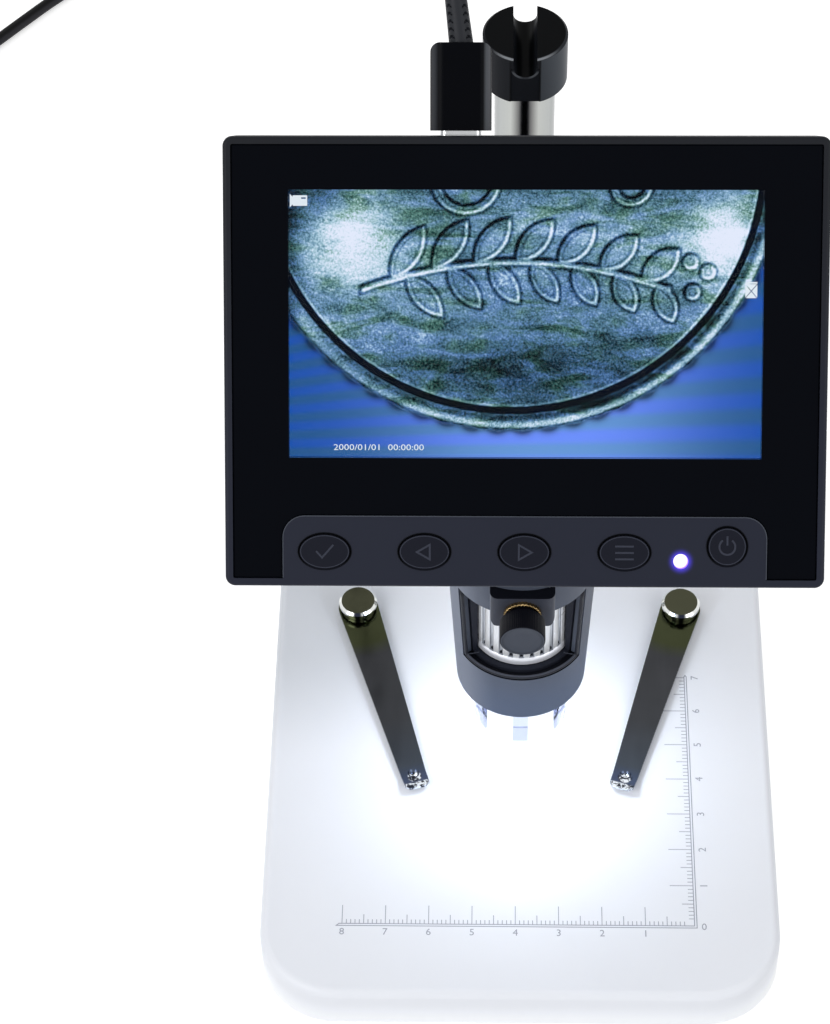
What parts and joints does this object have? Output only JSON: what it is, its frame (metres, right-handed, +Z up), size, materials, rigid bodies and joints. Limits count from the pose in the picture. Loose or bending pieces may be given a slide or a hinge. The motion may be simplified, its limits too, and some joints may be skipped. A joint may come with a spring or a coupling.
{
  "type": "lcd digital microscope",
  "caption": "Free-standing digital microscope: a tilted flat screen with a key panel above a focusing barrel, clamped by an arm to a post on a flat base with stage clips and a USB lead.",
  "frame": {"origin": "middle of the base, on the plane that the rubber feet rest on", "axes": "+Z up along the post, +X to the user's right, +Y to the back, away from the user; the screen faces forward and up between -Y and +Z"},
  "size_m": [0.268, 0.3687, 0.2407],
  "materials": {
    "base_white": "soft white gloss",
    "plate_steel": "plain sheet steel",
    "foot_rubber": "matte",
    "screw_steel": "bright zinc",
    "post_steel": "satin stainless tube",
    "black_gloss": "gloss black",
    "clip_steel": "polished spring steel",
    "cord_black": "satin cable jacket",
    "tie_black": "matte",
    "plug_black": "moulded, half gloss",
    "plug_metal": "bright tin",
    "holder_charcoal": "fine matte, blue-grey in the light",
    "insert_brass": "turned",
    "black_satin": "satin black",
    "panel_charcoal": "fine matte charcoal",
    "screen_glass": "clear with a black printed border",
    "lcd_picture": "lit picture",
    "board_green": "solder mask",
    "board_white": "white solder mask",
    "chip_black": "moulded parts",
    "backlight_white": "moulded, white",
    "battery_silver": "foil pouch",
    "ribbon_amber": "polyimide film",
    "led_clear": "clear epoxy",
    "hood_clear": "clear moulded",
    "lens_glass": "polished",
    "wheel_silver": "frosted, silver grey",
    "rod_black": "blackened steel",
    "key_black": "half gloss with moulded symbols"
  },
  "bodies": {
    "stand": {"base_shell": "base_white", "base_plate": "plate_steel", "rubber_feet": "foot_rubber", "base_screws": "screw_steel", "post": "post_steel", "post_plug": "screw_steel", "post_bolt": "screw_steel", "post_cap": "black_gloss", "clip_studs": "clip_steel", "clip_spacers": "clip_steel", "clip_nuts": "screw_steel", "cord_run": "cord_black", "cord_coil": "cord_black", "coil_tie": "tie_black", "usb_a_body": "plug_black", "usb_a_shell": "plug_metal"},
    "carriage": {"holder": "holder_charcoal", "front_insert": "insert_brass", "rear_insert": "insert_brass", "rear_cover": "black_satin", "front_bezel": "panel_charcoal", "front_glass": "screen_glass", "lcd_panel": "lcd_picture", "backlight_frame": "backlight_white", "main_board": "board_green", "board_parts": "chip_black", "battery": "battery_silver", "usb_socket": "plug_metal", "card_socket": "plug_metal", "lcd_ribbon": "ribbon_amber", "key_board": "board_green", "key_switches": "chip_black", "status_led": "led_clear", "head_screws": "screw_steel", "board_screws": "screw_steel", "barrel": "black_satin", "barrel_screws": "screw_steel", "sensor_board": "board_green", "sensor_ribbon": "ribbon_amber", "led_board": "board_white", "leds": "led_clear", "clear_hood": "hood_clear", "usb_plug_shell": "plug_metal", "usb_plug_body": "plug_black", "strain_relief": "plug_black"},
    "lens_cell": {"lens_tube": "black_satin", "lenses": "lens_glass"},
    "focus_ring": {"focus_wheel": "wheel_silver"},
    "left_clip": {"clip_left": "clip_steel"},
    "right_clip": {"clip_right": "clip_steel"},
    "front_rod": {"front_screw_rod": "rod_black"},
    "front_knob": {"front_screw_knob": "black_gloss"},
    "rear_rod": {"rear_screw_rod": "rod_black"},
    "rear_knob": {"rear_screw_knob": "black_gloss"},
    "confirm_key": {"key_confirm": "key_black"},
    "left_key": {"key_left": "key_black"},
    "right_key": {"key_right": "key_black"},
    "menu_key": {"key_menu": "key_black"},
    "power_key": {"key_power": "key_black"}
  },
  "joints": [
    {"name": "height_slide", "type": "slide", "parent": "stand", "child": "carriage", "axis": [0, 0, 1], "range_m": [-0.012, 0.055], "deforming": ["cord_run"]},
    {"name": "front_screw_turn", "type": "hinge", "parent": "front_rod", "child": "front_knob", "pos_m": [0, -0.0402, 0.097], "axis": [0, -1, 0], "range_deg": [0, 900]},
    {"name": "front_screw_advance", "type": "slide", "parent": "carriage", "child": "front_rod", "axis": [0, -1, 0], "range_m": [0, 0.002]},
    {"name": "rear_screw_turn", "type": "hinge", "parent": "rear_rod", "child": "rear_knob", "pos_m": [0, 0.068, 0.0985], "axis": [0, 1, 0], "range_deg": [0, 900]},
    {"name": "rear_screw_advance", "type": "slide", "parent": "carriage", "child": "rear_rod", "axis": [0, 1, 0], "range_m": [0, 0.002]},
    {"name": "clip_left_swivel", "type": "hinge", "parent": "stand", "child": "left_clip", "pos_m": [-0.04, 0.0295, 0.0147], "axis": [0, 0, 1], "range_deg": [-35, 20]},
    {"name": "clip_right_swivel", "type": "hinge", "parent": "stand", "child": "right_clip", "pos_m": [0.04, 0.0295, 0.0147], "axis": [0, 0, 1], "range_deg": [-20, 35]},
    {"name": "focus_wheel_turn", "type": "hinge", "parent": "carriage", "child": "focus_ring", "pos_m": [0, -0.016, 0.081], "axis": [0, 0, 1], "range_deg": [-150, 150]},
    {"name": "lens_focus", "type": "slide", "parent": "carriage", "child": "lens_cell", "axis": [0, 0, 1], "range_m": [-0.003, 0.003]},
    {"name": "confirm_press", "type": "slide", "parent": "carriage", "child": "confirm_key", "axis": [0, 0.7314, -0.682], "range_m": [0, 0.0003], "stiffness_N_per_m": 1000, "springref_m": -0.0004},
    {"name": "left_press", "type": "slide", "parent": "carriage", "child": "left_key", "axis": [0, 0.7314, -0.682], "range_m": [0, 0.0003], "stiffness_N_per_m": 1000, "springref_m": -0.0004},
    {"name": "right_press", "type": "slide", "parent": "carriage", "child": "right_key", "axis": [0, 0.7314, -0.682], "range_m": [0, 0.0003], "stiffness_N_per_m": 1000, "springref_m": -0.0004},
    {"name": "menu_press", "type": "slide", "parent": "carriage", "child": "menu_key", "axis": [0, 0.7314, -0.682], "range_m": [0, 0.0003], "stiffness_N_per_m": 1000, "springref_m": -0.0004},
    {"name": "power_press", "type": "slide", "parent": "carriage", "child": "power_key", "axis": [0, 0.7314, -0.682], "range_m": [0, 0.0003], "stiffness_N_per_m": 1000, "springref_m": -0.0004}
  ],
  "couplings": [
    {"joint": "front_screw_turn", "follows": "front_screw_advance", "rad_per_m": 7854},
    {"joint": "rear_screw_turn", "follows": "rear_screw_advance", "rad_per_m": 7854},
    {"joint": "focus_wheel_turn", "follows": "lens_focus", "rad_per_m": 872.66}
  ]
}
